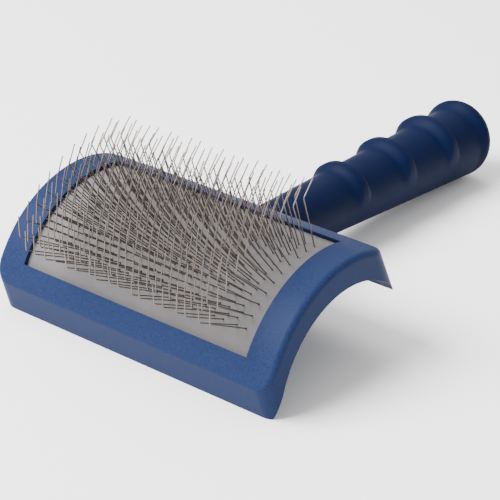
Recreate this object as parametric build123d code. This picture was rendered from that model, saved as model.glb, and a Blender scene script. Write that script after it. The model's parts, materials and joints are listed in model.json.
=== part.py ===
from build123d import *
from collections import namedtuple
import math
import os
import random

# Slicker brush, lying pins up. All lengths are in millimetres.
#
# The pieces are built in the head's own frame and then tipped into the resting position:
#   X  along the head, from end to end
#   Y  across the head, from the front wall towards the handle
#   Z  out of the pad, with the crest of the arched top band at Z = 0
# At rest the brush stands on its front foot and on the butt of the handle.

# Head: an arched block with drafted walls
HEAD_LENGTH = 135.0
LENGTH_LEVEL_Z = -5.0
END_ALLOWANCE = 0.6
CROWN_RADIUS = 49.4
FRONT_EDGE_Y = -37.3
REAR_WALL_Y = 37.8
FRONT_DRAFT = 0.096
END_DRAFT = 2.5
CORNER_RADIUS = 7.0
TOP_EDGE_RADIUS = 2.4
FRONT_FOOT_Z = -30.9
REAR_FOOT_Z = -39.0
FOOT_LAND = 4.0

# Underside arch, which has its own centre
ARCH_RADIUS = 40.35
ARCH_CENTRE_Y = -1.94
ARCH_CENTRE_Z = -50.25

# Pad opening in the top band, and the pocket under the band
OPENING_HALF_LENGTH = 55.0
OPENING_FRONT_Y = -30.3
OPENING_REAR_Y = 29.3
BAND_THICKNESS = 1.8
POCKET_HALF_LENGTH = 61.5
POCKET_HALF_WIDTH = 33.0
PLATE_THICKNESS = 2.0

# Pad: a pierced sheet over a foam cushion
SHEET_THICKNESS = 1.2
FOAM_DROP = 1.3
FOAM_RIM_X = 57.0
FOAM_RIM_Y = 25.5

# Pins: U-shaped wire staples, each with two bent legs
ROW_COUNT = 19
ROW_PITCH = 2.46
STAPLES_PER_ROW = 9
STAPLE_PITCH = 10.53
LEG_SPACING = 4.23
WIRE_RADIUS = 0.225
HOLE_CLEARANCE = 0.14
CROWN_DEPTH = 0.65
SHANK_LENGTH = 23.4
TIP_LENGTH = 7.7
BEND_ANGLE = 62.0
LEAN_AT_CREST = -17.5
LEAN_PER_DEGREE = -0.15
KNEE_RADIUS = 1.2
CROWN_BEND = 0.5
HOLE_LENGTH = 6.0
HOLE_LEAD = 1.0

# Unevenness of the bent wires: each value is the most either way, in degrees or millimetres
LEAN_SPREAD = 1.4
SIDE_SPREAD = 0.5
BEND_SPREAD = 4.0
TIP_SIDE_SPREAD = 2.0
SHANK_SPREAD = 0.5
TIP_SPREAD = 0.4
UNEVENNESS_SEED = 11

# Handle: its axis leaves the rear wall and slopes away from the pad
AXIS_START_Y = 37.8
AXIS_START_Z = -39.7
AXIS_SLOPE = 25.93
HANDLE_LENGTH = 147.2
GRIP_START = 2.0
GRIP_RADIUS = 11.09
GRIP_TAPER = 0.0328
BUTT_RADIUS = 8.0
BUTT_BULGE = 1.0
NECK_REACH = 62.0
NECK_TAPER = 0.05
NECK_SKIN = 0.6
CORE_RADIUS = 6.5
CORE_END = 131.0
RIB_WIDTH = 17.0
RIB_THICKNESS = 3.0
RIB_END = 124.0

# Finger ridges and the bulb at the butt: middle, half width, and height above the grip
RIDGES = [
    (54.4, 4.9, 2.8),
    (86.1, 4.9, 3.1),
    (116.9, 4.9, 3.4),
    (140.4, 6.5, 3.0),
]
RIDGE_SINK = 0.5

SHEET_TOP_RADIUS = CROWN_RADIUS - BAND_THICKNESS
SHEET_MIDDLE_RADIUS = SHEET_TOP_RADIUS - SHEET_THICKNESS / 2
SHEET_UNDER_RADIUS = SHEET_TOP_RADIUS - SHEET_THICKNESS
PLATE_TOP_RADIUS = ARCH_RADIUS + PLATE_THICKNESS

# Blanks are cut larger than the head; WIDE clears the whole brush
BLANK_TOP = 20.0
BLANK_FOOT = -60.0
WIDE = 400.0

# How an edge of the head is recognised before it is rounded
CORNER_HEIGHT = 30.0
CORNER_ZONE = 5.0
SAME_PLACE = 0.01

Leg = namedtuple("Leg", "corner knee end shank")


def grip_radius(along):
    """Radius of the plain tapered grip at a distance along its axis."""
    return GRIP_RADIUS + GRIP_TAPER * along


def axis_point(along, below=0.0):
    """Y and Z of a point on the handle's axis, or below it, in the head's frame."""
    slope = math.radians(AXIS_SLOPE)
    y = AXIS_START_Y + along * math.cos(slope) - below * math.sin(slope)
    z = AXIS_START_Z - along * math.sin(slope) - below * math.cos(slope)
    return y, z


def front_foot_y():
    """Y of the front wall's bottom edge, where its draft has carried it outwards."""
    return FRONT_EDGE_Y + FRONT_DRAFT * (FRONT_FOOT_Z - arc_height(FRONT_EDGE_Y))


def arc_height(y):
    """Z of the arched top band at a given Y."""
    return math.sqrt(CROWN_RADIUS**2 - y**2) - CROWN_RADIUS


def rest_tilt():
    """Degrees that the head leans back so that the front foot and the butt share one floor."""
    butt_y, butt_z = axis_point(HANDLE_LENGTH - BUTT_RADIUS, grip_radius(HANDLE_LENGTH) - BUTT_RADIUS)
    run = butt_y - front_foot_y()
    drop = butt_z - FRONT_FOOT_Z
    to_centre = math.atan2(drop, run)
    to_tangent = math.asin(BUTT_RADIUS / math.hypot(run, drop))
    return math.degrees(to_tangent - to_centre)


def across(radius, centre_y, centre_z, length):
    """A solid cylinder along X."""
    spot = Pos(0, centre_y, centre_z) * Rot(0, 90, 0)
    return spot * Cylinder(radius, length)


def crown(radius):
    """A long cylinder that shares the top band's centre."""
    return across(radius, 0, -CROWN_RADIUS, WIDE)


def arch(radius):
    """A long cylinder that shares the underside's centre."""
    return across(radius, ARCH_CENTRE_Y, ARCH_CENTRE_Z, WIDE)


def upright(half_x, low_y, high_y):
    """A tall box over a rectangle of the head, cut off well below the arch."""
    box = Box(2 * half_x, high_y - low_y, BLANK_TOP - BLANK_FOOT)
    return Pos(0, (low_y + high_y) / 2, (BLANK_TOP + BLANK_FOOT) / 2) * box


def side_profile():
    """The head's outline seen from its end, closed by a straight line under the arch."""
    foot_y = front_foot_y()
    lift = FRONT_DRAFT * (BLANK_TOP - FRONT_FOOT_Z)
    land = math.tan(math.radians(rest_tilt()))
    points = [
        (foot_y, FRONT_FOOT_Z),
        (foot_y + lift, BLANK_TOP),
        (REAR_WALL_Y, BLANK_TOP),
        (REAR_WALL_Y, REAR_FOOT_Z),
        (0, REAR_FOOT_Z),
        (foot_y + FOOT_LAND, FRONT_FOOT_Z - FOOT_LAND * land),
    ]
    return make_face(Plane.YZ * Polyline(*points, close=True))


def half_length(z):
    """Half of the head's length at a height, with the draft of its end walls."""
    lean = math.tan(math.radians(END_DRAFT))
    return HEAD_LENGTH / 2 + END_ALLOWANCE - (z - LENGTH_LEVEL_Z) * lean


def head_block():
    """The whole outer block of the head, with rounded corners and a soft top edge."""
    block = extrude(side_profile(), amount=HEAD_LENGTH, both=True)
    top, foot = half_length(BLANK_TOP), half_length(BLANK_FOOT)
    corners = [(top, BLANK_TOP), (foot, BLANK_FOOT), (-foot, BLANK_FOOT), (-top, BLANK_TOP)]
    outline = Polyline(*corners, close=True)
    block &= extrude(make_face(Plane.XZ * outline), amount=WIDE / 2, both=True)
    uprights = [edge for edge in block.edges() if is_corner(edge)]
    block = fillet(uprights, CORNER_RADIUS)
    block &= crown(CROWN_RADIUS)
    rim_edges = [edge for edge in block.edges() if on_crown(edge)]
    return fillet(rim_edges, TOP_EDGE_RADIUS)


def is_corner(edge):
    """True for the four long edges where an end wall meets a long wall."""
    box = edge.bounding_box()
    tall = box.size.Z > CORNER_HEIGHT
    at_end = abs(box.center().X) > HEAD_LENGTH / 2 - CORNER_ZONE
    return tall and at_end


def on_crown(edge):
    """True for an edge that lies on the arched top surface."""
    for place in (0.1, 0.5, 0.9):
        point = edge @ place
        if abs(math.hypot(point.Y, point.Z + CROWN_RADIUS) - CROWN_RADIUS) > SAME_PLACE:
            return False
    return True


def handle_frame():
    """Plane whose Z runs along the handle and whose Y points to the pin side."""
    y, z = axis_point(0)
    slope = math.radians(AXIS_SLOPE)
    return Plane(origin=(0, y, z), x_dir=(-1, 0, 0), z_dir=(0, math.cos(slope), -math.sin(slope)))


def along_handle(profile, offset=0.0):
    """Turn a profile of (distance along, radius) round an axis raised towards the pins."""
    face = make_face([Plane.XZ * line for line in profile])
    solid = revolve(face, Axis.Z)
    return handle_frame() * Pos(0, offset, 0) * solid


def neck():
    """The tapered strut that runs from the grip up into the underside of the arch."""
    near = GRIP_RADIUS + GRIP_TAPER * GRIP_START
    far = GRIP_RADIUS - NECK_TAPER * NECK_REACH
    outline = Polyline((0, GRIP_START), (near, GRIP_START), (far, -NECK_REACH), (0, -NECK_REACH), close=True)
    return along_handle([outline])


def handle_core():
    """The stiff spine inside the grip: a round bar with crossed ribs that hold it from turning."""
    outline = Polyline((0, 0), (CORE_RADIUS, 0), (CORE_RADIUS, CORE_END), (0, CORE_END), close=True)
    bar = along_handle([outline])
    spot = handle_frame() * Pos(0, 0, RIB_END / 2)
    ribs = Box(RIB_WIDTH, RIB_THICKNESS, RIB_END) + Box(RIB_THICKNESS, RIB_WIDTH, RIB_END)
    return bar + spot * ribs


def back_handle():
    """Underside plate, neck and handle core, moulded as one piece."""
    plate = upright(POCKET_HALF_LENGTH, -POCKET_HALF_WIDTH, POCKET_HALF_WIDTH) & arch(PLATE_TOP_RADIUS)
    strut = neck() & (arch(PLATE_TOP_RADIUS - NECK_SKIN) + beyond_pocket())
    return plate - arch(ARCH_RADIUS) + strut + handle_core()


def beyond_pocket():
    """Everything on the handle's side of the rear wall's inner face."""
    return Pos(0, POCKET_HALF_WIDTH + WIDE / 2, 0) * Box(WIDE, WIDE, WIDE)


def head_rim():
    """The outer shell: four walls and the arched band round the pad."""
    shell = head_block() - arch(ARCH_RADIUS)
    pocket = upright(POCKET_HALF_LENGTH, -POCKET_HALF_WIDTH, POCKET_HALF_WIDTH) & crown(SHEET_TOP_RADIUS)
    opening = upright(OPENING_HALF_LENGTH, OPENING_FRONT_Y, OPENING_REAR_Y)
    return shell - pocket - opening - neck()


def leg_direction(angle, lean, sideways):
    """Unit vector of a shank at a place on the pad's arc, angles in degrees."""
    turn = math.radians(angle + lean)
    side = math.radians(sideways)
    return Vector(math.sin(side), math.sin(turn) * math.cos(side), math.cos(turn) * math.cos(side))


def arc_point(x, radius, angle):
    """A point at a radius and an angle on the crown's circle."""
    turn = math.radians(angle)
    return Vector(x, radius * math.sin(turn), radius * math.cos(turn) - CROWN_RADIUS)


def row_angle(row):
    """Angle of a pin row on the pad's arc, in degrees from the crest."""
    along = (row - (ROW_COUNT - 1) / 2) * ROW_PITCH
    return math.degrees(along / SHEET_TOP_RADIUS)


def staple_centre(row, number):
    """X of a staple; every second row is shifted by half a staple pitch."""
    shift = STAPLE_PITCH / 2 if row % 2 == 0 else 0.0
    return (number - (STAPLES_PER_ROW - 1) / 2) * STAPLE_PITCH + shift


def near(value, spread, chance):
    """The value, a little off to either side."""
    return value + chance.uniform(-spread, spread)


def pin_leg(x, angle, chance):
    """The crown corner, knee and tip of one leg, and the shank's direction."""
    lean = near(LEAN_AT_CREST + LEAN_PER_DEGREE * angle, LEAN_SPREAD, chance)
    shank = leg_direction(angle, lean, near(0, SIDE_SPREAD, chance))
    tip = leg_direction(angle, near(lean + BEND_ANGLE, BEND_SPREAD, chance), near(0, TIP_SIDE_SPREAD, chance))
    pivot = arc_point(x, SHEET_MIDDLE_RADIUS, angle)
    below = (SHEET_THICKNESS / 2 + CROWN_DEPTH) / math.cos(math.radians(lean))
    knee = pivot + shank * near(SHANK_LENGTH, SHANK_SPREAD, chance)
    end = knee + tip * near(TIP_LENGTH, TIP_SPREAD, chance)
    return Leg(pivot - shank * below, knee, end, shank)


def staple_legs():
    """The two legs of every staple, row by row, with the small unevenness of bent wire."""
    chance = random.Random(UNEVENNESS_SEED)
    rows = []
    for row in range(ROW_COUNT):
        angle = row_angle(row)
        centres = [staple_centre(row, number) for number in range(STAPLES_PER_ROW)]
        rows.append([
            [pin_leg(centre + side * LEG_SPACING / 2, angle, chance) for side in (-1, 1)]
            for centre in centres
        ])
    return rows


def staple(legs):
    """One bent wire: tip, knee, shank, crown under the sheet, shank, knee, tip."""
    left, right = legs
    points = [left.end, left.knee, left.corner, right.corner, right.knee, right.end]
    path = FilletPolyline(*points, radius=[KNEE_RADIUS, CROWN_BEND, CROWN_BEND, KNEE_RADIUS])
    start = Plane(origin=path @ 0, z_dir=path % 0)
    return sweep(start * Circle(WIRE_RADIUS), path=path)


def pin_holes(rows):
    """A slightly loose hole through the sheet along every shank."""
    holes = []
    for row in rows:
        for legs in row:
            for leg in legs:
                start = Plane(origin=leg.corner, z_dir=leg.shank)
                bar = Cylinder(WIRE_RADIUS + HOLE_CLEARANCE, HOLE_LENGTH)
                holes.append(start * Pos(0, 0, HOLE_LENGTH / 2 - HOLE_LEAD) * bar)
    return holes


def pad_sheet(rows):
    """The curved sheet that carries the pins, clamped under the band along its edges."""
    area = upright(POCKET_HALF_LENGTH, -POCKET_HALF_WIDTH, POCKET_HALF_WIDTH)
    sheet = area & (crown(SHEET_TOP_RADIUS) - crown(SHEET_UNDER_RADIUS))
    return sheet - pin_holes(rows)


def foam_cushion():
    """The cushion behind the sheet, hollowed a little to clear the staple crowns."""
    area = upright(POCKET_HALF_LENGTH, -POCKET_HALF_WIDTH, POCKET_HALF_WIDTH)
    foam = (area & crown(SHEET_UNDER_RADIUS)) - arch(PLATE_TOP_RADIUS)
    hollow = upright(FOAM_RIM_X, -FOAM_RIM_Y, FOAM_RIM_Y) - crown(SHEET_UNDER_RADIUS - FOAM_DROP)
    return foam - hollow


def bead(middle, reach, height):
    """An eccentric bead that stands proud on the pin side and fades out round the handle."""
    offset = (height + RIDGE_SINK) / 2
    top = grip_radius(middle) + height - offset
    foot = top - height - RIDGE_SINK
    start, end = middle - reach, middle + reach
    outline = [
        ThreePointArc((foot, start), (top, middle), (foot, end)),
        Line((foot, end), (0, end)),
        Line((0, end), (0, start)),
        Line((0, start), (foot, start)),
    ]
    return along_handle(outline, offset)


def plain_grip():
    """The tapered body of the grip with its rounded, slightly domed butt."""
    near = grip_radius(GRIP_START)
    corner_start = HANDLE_LENGTH - BUTT_RADIUS
    wall = grip_radius(HANDLE_LENGTH)
    flat = wall - BUTT_RADIUS
    turn = BUTT_RADIUS * math.sqrt(0.5)
    top = HANDLE_LENGTH + BUTT_BULGE
    dome = (flat**2 + BUTT_BULGE**2) / (2 * BUTT_BULGE)
    half_way = top - dome + math.sqrt(dome**2 - flat**2 / 4)
    outline = [
        Line((0, GRIP_START), (near, GRIP_START)),
        Line((near, GRIP_START), (wall, corner_start)),
        ThreePointArc((wall, corner_start), (flat + turn, corner_start + turn), (flat, HANDLE_LENGTH)),
        ThreePointArc((flat, HANDLE_LENGTH), (flat / 2, half_way), (0, top)),
        Line((0, top), (0, GRIP_START)),
    ]
    return along_handle(outline)


def grip_sleeve():
    """The soft grip moulded over the core, with three finger ridges and a bulb at its end."""
    body = plain_grip()
    for middle, reach, height in RIDGES:
        body += bead(middle, reach, height)
    return body - handle_core()


def build_parts():
    """Every node's shape in the head's frame."""
    rows = staple_legs()
    parts = {
        "head_rim": head_rim(),
        "back_handle": back_handle(),
        "grip_sleeve": grip_sleeve(),
        "pad_sheet": pad_sheet(rows),
        "foam_cushion": foam_cushion(),
    }
    for row, staples in enumerate(rows):
        wires = [staple(legs) for legs in staples]
        parts[f"pin_row_{row + 1:02d}"] = Compound(children=wires)
    return parts


def main():
    """Tip the brush into its resting place, stand it on Z = 0 and write one file per node."""
    os.makedirs("parts", exist_ok=True)
    parts = build_parts()
    tilt = rest_tilt()
    tipped = {name: Rot(tilt, 0, 0) * shape for name, shape in parts.items()}
    boxes = [shape.bounding_box() for shape in tipped.values()]
    lowest = min(box.min.Z for box in boxes)
    middle = (min(box.min.Y for box in boxes) + max(box.max.Y for box in boxes)) / 2
    home = Pos(0, -middle, -lowest)
    for name, shape in tipped.items():
        export_step(home * shape, f"parts/{name}.step")


main()
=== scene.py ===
import bpy
import json
import math
from mathutils import Matrix, Vector


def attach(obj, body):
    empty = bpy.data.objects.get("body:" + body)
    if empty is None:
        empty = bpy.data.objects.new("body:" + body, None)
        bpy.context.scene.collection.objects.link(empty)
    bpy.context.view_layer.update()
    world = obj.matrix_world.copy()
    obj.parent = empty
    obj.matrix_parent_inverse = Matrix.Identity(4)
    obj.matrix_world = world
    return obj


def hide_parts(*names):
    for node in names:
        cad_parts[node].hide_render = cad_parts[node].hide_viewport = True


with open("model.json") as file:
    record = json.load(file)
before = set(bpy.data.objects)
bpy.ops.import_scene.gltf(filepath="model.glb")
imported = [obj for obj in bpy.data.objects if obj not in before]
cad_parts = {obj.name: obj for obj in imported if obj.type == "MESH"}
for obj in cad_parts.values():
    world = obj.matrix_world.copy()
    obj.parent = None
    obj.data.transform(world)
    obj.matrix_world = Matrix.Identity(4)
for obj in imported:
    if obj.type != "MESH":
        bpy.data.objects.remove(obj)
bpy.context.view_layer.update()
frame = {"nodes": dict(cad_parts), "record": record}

# Sizes in metres, angles in degrees.
# The head's frame: X along the head, Y towards the handle, Z out of the pad, origin on the band's crest.
CROWN_RADIUS = 0.0494
PIVOT_RADIUS = 0.0470
SHEET_UNDER_RADIUS = 0.0464
PLATE_TOP_RADIUS = 0.04235
ARCH_CENTRE = (-0.00194, -0.05025)

# Handle, measured from the rear wall along its own axis
AXIS_START = (0.0378, -0.0397)
AXIS_SLOPE = 25.93
HANDLE_LENGTH = 0.1472
GRIP_START = 0.0020
GRIP_RADIUS = 0.01109
GRIP_TAPER = 0.0328
BORE_RADIUS = 0.0087

# Finger ridges: where each peaks along the handle, and its height on the pin side
RIDGES = [(0.0544, 0.0028), (0.0861, 0.0031), (0.1169, 0.0034)]
RIDGE_RISE = 0.0057
RIDGE_FALL = 0.0052
RIDGE_CREST = 1.25

# Cosines of the angle round the grip at which the ridges have faded out, and at which they are whole
FADED_OUT = -0.10
WHOLE = 0.80

# Bulb at the butt: where its rise starts and ends, and its height; then the rounded end
BULB_START = 0.1365
BULB_TOP = 0.1418
BULB_HEIGHT = 0.0030
BUTT_ROUND_ABOVE = 0.0062
BUTT_ROUND_BELOW = 0.0088
BUTT_DOME = 0.0010

# How finely the grip's skin is cut, and the small chamfer at its front end
GRIP_SEGMENTS = 128
GRIP_RINGS = 280
END_RINGS = 24
BUTT_RINGS = 9
GRIP_LIP = 0.0003

# Foam block: its plan, how far its middle is dished, its rounded edge and how finely it is cut
FOAM_HALF_LENGTH = 0.0614
FOAM_HALF_WIDTH = 0.0329
DISH_HALF_LENGTH = 0.0570
DISH_HALF_WIDTH = 0.0255
DISH_DEPTH = 0.0014
FOAM_EDGE = 0.0010
FOAM_SKIN = 0.00005
FOAM_COLUMNS = 60
FOAM_ROWS = 40
EDGE_STEPS = 4

# Camera: where it stands round the crest, and the crest's offset from the middle of the view
CAMERA_AZIMUTH = 39.11
CAMERA_ELEVATION = 27.28
CAMERA_ROLL = 0.28
CAMERA_DISTANCE = 0.6975
CAMERA_LENS = 135.6
SENSOR_WIDTH = 36
NEAR_CLIP = 0.01
CREST_IN_VIEW = (-0.02889, 0.00597)

# Studio: half the floor's side, the light's target, and each light's place, size and power in watts
FLOOR_HALF = 3.0
AIM = (0, -0.05, 0.03)
SURROUNDINGS = 1.05
LIGHTS = {
    "key": ((-0.60, -0.85, 1.20), (1.0, 0.8), 85.0),
    "top": ((-0.5, 0.5, 1.3), (0.9, 0.9), 10.0),
}

# Colours, in linear light
WHITE = (1.0, 1.0, 1.0)
FLOOR_WHITE = (0.95, 0.95, 0.95)
RIM_BLUE = (0.0110, 0.0200, 0.0600)
# The back's blue is the rim's blue darkened with painted shade: back and rim are one blue plastic.
SHADED_BACK_BLUE = (0.0070, 0.0150, 0.0480)
# The grip's blue is the same blue as the rim's plastic, darkened with painted shade.
SHADED_GRIP_BLUE = (0.0010, 0.0045, 0.0235)
PAD_GREY = (0.105, 0.099, 0.100)
PIN_STEEL = (0.150, 0.122, 0.105)
FOAM_GREY = (0.25, 0.25, 0.25)


def head_frame():
    """The head's origin and axes, read from the pin rows' hinges, which lie on one arc."""
    pivots = [Vector(joint["pos_m"]) for joint in frame["record"]["behaviour"]["joints"]]
    middle = pivots[len(pivots) // 2]
    chord = (pivots[-1] - pivots[0]).normalized()
    up = Vector((1, 0, 0)).cross(chord)
    crest = middle + up * (CROWN_RADIUS - PIVOT_RADIUS)
    turn = Matrix((Vector((1, 0, 0)), chord, up)).transposed()
    return Matrix.Translation(crest) @ turn.to_4x4()


HEAD = head_frame()


def handle_frame():
    """Frame whose Z runs along the handle and whose Y points to the pin side."""
    slope = math.radians(AXIS_SLOPE)
    start = HEAD @ Matrix.Translation((0, *AXIS_START))
    along = Vector((0, math.cos(slope), -math.sin(slope)))
    raised = Vector((0, math.sin(slope), math.cos(slope)))
    turn = Matrix((Vector((-1, 0, 0)), raised, along)).transposed()
    return start @ turn.to_4x4()


# ---------------------------------------------------------------- camera, floor and light

def add_camera():
    """The camera, at the angle from which the brush shows its pad, right end and handle."""
    azimuth = math.radians(CAMERA_AZIMUTH)
    elevation = math.radians(CAMERA_ELEVATION)
    back = Vector((
        math.sin(azimuth) * math.cos(elevation),
        -math.cos(azimuth) * math.cos(elevation),
        math.sin(elevation),
    ))
    level = Vector((math.cos(azimuth), math.sin(azimuth), 0))
    upright = Matrix((level, back.cross(level), back)).transposed()
    turn = upright @ Matrix.Rotation(math.radians(CAMERA_ROLL), 3, "Z")
    crest = HEAD.translation
    offset = turn @ Vector((*CREST_IN_VIEW, -CAMERA_DISTANCE))
    camera = bpy.data.objects.new("camera", bpy.data.cameras.new("camera"))
    camera.matrix_world = Matrix.Translation(crest - offset) @ turn.to_4x4()
    camera.data.lens = CAMERA_LENS
    camera.data.sensor_width = SENSOR_WIDTH
    camera.data.clip_start = NEAR_CLIP
    bpy.context.collection.objects.link(camera)
    bpy.context.scene.camera = camera


def add_floor():
    """A plain pale floor."""
    half = FLOOR_HALF
    square = [(-half, -half, 0), (half, -half, 0), (half, half, 0), (-half, half, 0)]
    mesh = bpy.data.meshes.new("floor")
    mesh.from_pydata(square, [], [(0, 1, 2, 3)])
    floor = bpy.data.objects.new("floor", mesh)
    bpy.context.collection.objects.link(floor)
    material, shader, _ = new_material("floor_white")
    shader.inputs["Base Color"].default_value = (*FLOOR_WHITE, 1)
    shader.inputs["Roughness"].default_value = 0.9
    shader.inputs["Specular IOR Level"].default_value = 0.1
    mesh.materials.append(material)


def add_area_light(name, place, size, power):
    """A rectangular light that points at the brush."""
    data = bpy.data.lights.new(name, "AREA")
    data.shape = "RECTANGLE"
    data.size, data.size_y = size
    data.energy = power
    light = bpy.data.objects.new(name, data)
    light.location = place
    light.rotation_euler = (Vector(AIM) - Vector(place)).to_track_quat("-Z", "Y").to_euler()
    bpy.context.collection.objects.link(light)


def add_world(strength):
    """Even white surroundings."""
    world = bpy.data.worlds.new("studio")
    world.use_nodes = True
    background = world.node_tree.nodes["Background"]
    background.inputs["Color"].default_value = (*WHITE, 1)
    background.inputs["Strength"].default_value = strength
    bpy.context.scene.world = world


def add_lights():
    """A large soft key high in front on the left, a weak one high behind, and even white surroundings."""
    add_world(SURROUNDINGS)
    for name, (place, size, power) in LIGHTS.items():
        add_area_light(name, place, size, power)


# ---------------------------------------------------------------- materials

def new_material(name):
    """A material, its shader and its node tree."""
    material = bpy.data.materials.new(name)
    material.use_nodes = True
    tree = material.node_tree
    return material, tree.nodes["Principled BSDF"], tree


def noise(tree, scale, detail=2.0, roughness=0.5):
    """Noise in the object's own coordinates, which are metres."""
    place = tree.nodes.new("ShaderNodeTexCoord")
    texture = tree.nodes.new("ShaderNodeTexNoise")
    texture.inputs["Scale"].default_value = scale
    texture.inputs["Detail"].default_value = detail
    texture.inputs["Roughness"].default_value = roughness
    tree.links.new(place.outputs["Object"], texture.inputs["Vector"])
    return texture.outputs["Fac"]


def ramp(tree, value, socket, low, high):
    """Drives a socket from one (position, colour) stop to another; a plain number is a grey."""
    node = tree.nodes.new("ShaderNodeValToRGB")
    for element, (position, colour) in zip(node.color_ramp.elements, (low, high)):
        element.position = position
        element.color = (colour, colour, colour, 1) if isinstance(colour, float) else (*colour, 1)
    tree.links.new(value, node.inputs["Fac"])
    tree.links.new(node.outputs["Color"], socket)


def bump(tree, shader, height, distance, strength, before=None):
    """Relief of a depth in metres, on top of an earlier bump where there is one."""
    node = tree.nodes.new("ShaderNodeBump")
    node.inputs["Distance"].default_value = distance
    node.inputs["Strength"].default_value = strength
    tree.links.new(height, node.inputs["Height"])
    if before is not None:
        tree.links.new(before.outputs["Normal"], node.inputs["Normal"])
    tree.links.new(node.outputs["Normal"], shader.inputs["Normal"])
    return node


def shade(colour, factor):
    """The colour, made darker or lighter."""
    return tuple(channel * factor for channel in colour)


def moulded_plastic(name, colour):
    """Textured moulded plastic: a fine speckled grain and a satin finish."""
    material, shader, tree = new_material(name)
    speckle = noise(tree, scale=1500, roughness=0.6)
    dark, light = shade(colour, 0.78), shade(colour, 1.22)
    ramp(tree, speckle, shader.inputs["Base Color"], low=(0.3, dark), high=(0.7, light))
    ramp(tree, speckle, shader.inputs["Roughness"], low=(0.35, 0.42), high=(0.65, 0.58))
    coarse = bump(tree, shader, noise(tree, scale=240), distance=0.00008, strength=0.35)
    bump(tree, shader, speckle, distance=0.00010, strength=1.0, before=coarse)
    shader.inputs["Specular IOR Level"].default_value = 0.05
    return material


def soft_grip(name, colour):
    """Soft-touch grip: smooth and matte, with a little drift in its colour and roughness."""
    material, shader, tree = new_material(name)
    drift = noise(tree, scale=18, detail=3.0)
    dark, light = shade(colour, 0.92), shade(colour, 1.08)
    ramp(tree, drift, shader.inputs["Base Color"], low=(0.3, dark), high=(0.7, light))
    wear = noise(tree, scale=60, detail=4.0)
    ramp(tree, wear, shader.inputs["Roughness"], low=(0.3, 0.5), high=(0.7, 0.6))
    bump(tree, shader, noise(tree, scale=3200), distance=0.00002, strength=0.5)
    shader.inputs["Specular IOR Level"].default_value = 0.06
    return material


def pad_rubber(name, colour):
    """The pad's matte grey surface: fine felted grain and slight soiling."""
    material, shader, tree = new_material(name)
    soiling = noise(tree, scale=45, detail=4.0, roughness=0.6)
    dark, light = shade(colour, 0.93), shade(colour, 1.06)
    ramp(tree, soiling, shader.inputs["Base Color"], low=(0.3, dark), high=(0.7, light))
    weave = bump(tree, shader, noise(tree, scale=900), distance=0.00006, strength=0.6)
    bump(tree, shader, noise(tree, scale=3500), distance=0.00003, strength=0.8, before=weave)
    shader.inputs["Roughness"].default_value = 0.82
    shader.inputs["Specular IOR Level"].default_value = 0.25
    return material


def steel_wire(name, colour):
    """Drawn steel wire: slightly brown, with uneven brightness and polish."""
    material, shader, tree = new_material(name)
    drift = noise(tree, scale=90)
    dark, light = shade(colour, 0.8), shade(colour, 1.15)
    ramp(tree, drift, shader.inputs["Base Color"], low=(0.3, dark), high=(0.7, light))
    ramp(tree, noise(tree, scale=1500), shader.inputs["Roughness"], low=(0.3, 0.28), high=(0.7, 0.42))
    shader.inputs["Metallic"].default_value = 0.8
    return material


def open_foam(name, colour):
    """Cushion foam with visible open pores, their pits darkened with painted shade."""
    material, shader, tree = new_material(name)
    cells_and_pit_shade = noise(tree, scale=1400, roughness=0.7)
    # Where the noise is low the bump dips into a pit, and there the colour drops to 0.45 of the grey:
    # painted shade.
    ramp(tree, cells_and_pit_shade, shader.inputs["Base Color"], low=(0.35, shade(colour, 0.45)), high=(0.6, colour))
    bump(tree, shader, cells_and_pit_shade, distance=0.0003, strength=1.0)
    shader.inputs["Roughness"].default_value = 0.95
    return material


def repaint(node, material):
    """Give a CAD node another material."""
    for place in frame["nodes"][node].material_slots:
        place.material = material


# ---------------------------------------------------------------- pieces

def mesh_piece(name, points, faces, material):
    """A smooth mesh object with one material."""
    mesh = bpy.data.meshes.new(name)
    mesh.from_pydata(points, [], faces)
    mesh.validate()
    mesh.materials.append(material)
    mesh.polygons.foreach_set("use_smooth", [True] * len(mesh.polygons))
    piece = bpy.data.objects.new(name, mesh)
    bpy.context.collection.objects.link(piece)
    return piece


def smooth_step(value):
    """0 below 0, 1 above 1, and a smooth rise between."""
    value = min(max(value, 0.0), 1.0)
    return value * value * (3 - 2 * value)


def ridge_height(along):
    """Height of the finger ridges on the pin side at a distance along the handle."""
    total = 0.0
    for peak, height in RIDGES:
        reach = RIDGE_RISE if along < peak else RIDGE_FALL
        total += height * smooth_step(RIDGE_CREST * (1 - abs(along - peak) / reach))
    return total


def grip_section(along, around):
    """Outer radius of the grip; around is 0 on the pin side and pi underneath."""
    facing = 0.5 + 0.5 * math.cos(around)
    whole = smooth_step((math.cos(around) - FADED_OUT) / (WHOLE - FADED_OUT))
    bulb = BULB_HEIGHT * smooth_step((along - BULB_START) / (BULB_TOP - BULB_START))
    radius = GRIP_RADIUS + GRIP_TAPER * along + ridge_height(along) * whole + bulb * facing
    rounding = BUTT_ROUND_BELOW + (BUTT_ROUND_ABOVE - BUTT_ROUND_BELOW) * facing
    into_butt = (along - (HANDLE_LENGTH - rounding)) / rounding
    if into_butt > 0:
        radius -= rounding * (1 - math.sqrt(max(1 - into_butt**2, 0.0)))
    return radius


def lathe(place, stations, segments, tip):
    """Points and faces of rings (distance along, radius function of the angle), closed by a tip."""
    points = []
    for along, radius_at in stations:
        for segment in range(segments):
            around = math.tau * segment / segments
            radius = radius_at(around)
            points.append(place @ Vector((radius * math.sin(around), radius * math.cos(around), along)))
    faces = []
    for ring in range(len(stations) - 1):
        low, high = ring * segments, (ring + 1) * segments
        for segment in range(segments):
            after = (segment + 1) % segments
            faces.append((low + segment, low + after, high + after, high + segment))
    last, top = (len(stations) - 1) * segments, len(points)
    points.append(place @ Vector((0, 0, tip)))
    faces += [(last + segment, last + (segment + 1) % segments, top) for segment in range(segments)]
    return points, faces


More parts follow.
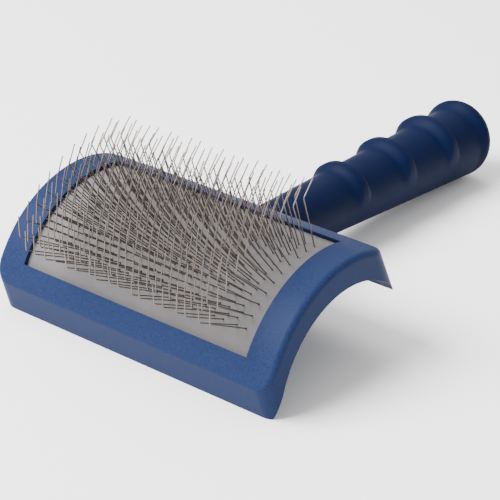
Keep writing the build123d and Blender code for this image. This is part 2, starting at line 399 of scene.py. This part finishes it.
def grip_stations():
    """Distances along the grip: even ones, then closer and closer ones round the butt."""
    start = GRIP_START + GRIP_LIP
    bend = HANDLE_LENGTH - BUTT_ROUND_BELOW
    even = [start + (bend - start) * ring / GRIP_RINGS for ring in range(GRIP_RINGS)]
    turns = [math.pi / 2 * ring / END_RINGS for ring in range(END_RINGS + 1)]
    return even + [bend + BUTT_ROUND_BELOW * math.sin(turn) for turn in turns]


def grip(material):
    """The soft sleeve as one smooth skin, open at the front, where the handle's core enters it."""
    stations = [
        (GRIP_START, lambda around: BORE_RADIUS),
        (GRIP_START, lambda around: grip_section(GRIP_START, around) - GRIP_LIP),
    ]
    for along in grip_stations():
        stations.append((along, lambda around, place=along: grip_section(place, around)))
    for step in range(BUTT_RINGS - 1, 0, -1):
        share = step / BUTT_RINGS
        height = HANDLE_LENGTH + BUTT_DOME * (1 - share**2)
        stations.append((height, lambda around, part=share: grip_section(HANDLE_LENGTH, around) * part))
    points, faces = lathe(handle_frame(), stations, GRIP_SEGMENTS, HANDLE_LENGTH + BUTT_DOME)
    piece = mesh_piece("grip", points, faces, material)
    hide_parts("grip_sleeve")
    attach(piece, "root")


def foam_height(across, inset, dished):
    """Z of the foam's top and bottom at a distance across the head and in from its edge."""
    top = math.sqrt(SHEET_UNDER_RADIUS**2 - across**2) - CROWN_RADIUS
    centre_y, centre_z = ARCH_CENTRE
    bottom = math.sqrt(PLATE_TOP_RADIUS**2 - (across - centre_y) ** 2) + centre_z
    gone = FOAM_EDGE - min(inset, FOAM_EDGE)
    rounding = FOAM_EDGE - math.sqrt(FOAM_EDGE**2 - gone**2)
    return top - FOAM_SKIN - rounding - DISH_DEPTH * dished, bottom + FOAM_SKIN + rounding


def spread(half, count):
    """Even stations from -half to half, with closer ones along both rounded edges."""
    turns = [math.pi / 2 * step / EDGE_STEPS for step in range(EDGE_STEPS)]
    edge = [half - FOAM_EDGE * (1 - math.cos(turn)) for turn in turns]
    inner = half - FOAM_EDGE
    middle = [inner * (1 - 2 * step / count) for step in range(count + 1)]
    return [-place for place in edge] + [-place for place in middle] + edge[::-1]


def border_points(columns, rows):
    """Numbers of a grid's outermost points, in order round its edge."""
    last = (columns - 1) * rows
    up = list(range(rows))
    along = [column * rows + rows - 1 for column in range(1, columns)]
    down = [last + row for row in range(rows - 2, -1, -1)]
    back = [column * rows for column in range(columns - 2, 0, -1)]
    return up + along + down + back


def slab_faces(columns, rows):
    """Faces of a closed slab, whose bottom grid of points follows its top grid."""
    count = columns * rows
    faces = []
    for column in range(columns - 1):
        for row in range(rows - 1):
            near = column * rows + row
            far = near + rows
            faces.append((near, far, far + 1, near + 1))
            faces.append((count + near, count + near + 1, count + far + 1, count + far))
    border = border_points(columns, rows)
    for here, after in zip(border, border[1:] + border[:1]):
        faces.append((here, after, count + after, count + here))
    return faces


def foam(material):
    """The cushion behind the sheet: a soft block that follows both arcs."""
    columns = spread(FOAM_HALF_LENGTH, FOAM_COLUMNS)
    rows = spread(FOAM_HALF_WIDTH, FOAM_ROWS)
    tops, bottoms = [], []
    for x in columns:
        for y in rows:
            inset = min(FOAM_HALF_LENGTH - abs(x), FOAM_HALF_WIDTH - abs(y))
            reach = min(DISH_HALF_LENGTH - abs(x), DISH_HALF_WIDTH - abs(y))
            top, bottom = foam_height(y, inset, smooth_step(reach / DISH_DEPTH + 1))
            tops.append(HEAD @ Vector((x, y, top)))
            bottoms.append(HEAD @ Vector((x, y, bottom)))
    piece = mesh_piece("foam", tops + bottoms, slab_faces(len(columns), len(rows)), material)
    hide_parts("foam_cushion")
    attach(piece, "root")


def build():
    """The studio, the materials of the CAD nodes, and the two pieces made here."""
    add_camera()
    add_floor()
    add_lights()
    repaint("head_rim", moulded_plastic("rim_plastic", RIM_BLUE))
    repaint("back_handle", moulded_plastic("back_plastic_painted_shade", SHADED_BACK_BLUE))
    repaint("pad_sheet", pad_rubber("pad_surface", PAD_GREY))
    wire = steel_wire("pin_wire", PIN_STEEL)
    for node in frame["nodes"]:
        if node.startswith("pin_row"):
            repaint(node, wire)
    grip(soft_grip("grip_rubber_painted_shade", SHADED_GRIP_BLUE))
    foam(open_foam("foam_pores_painted_shade", FOAM_GREY))


build()
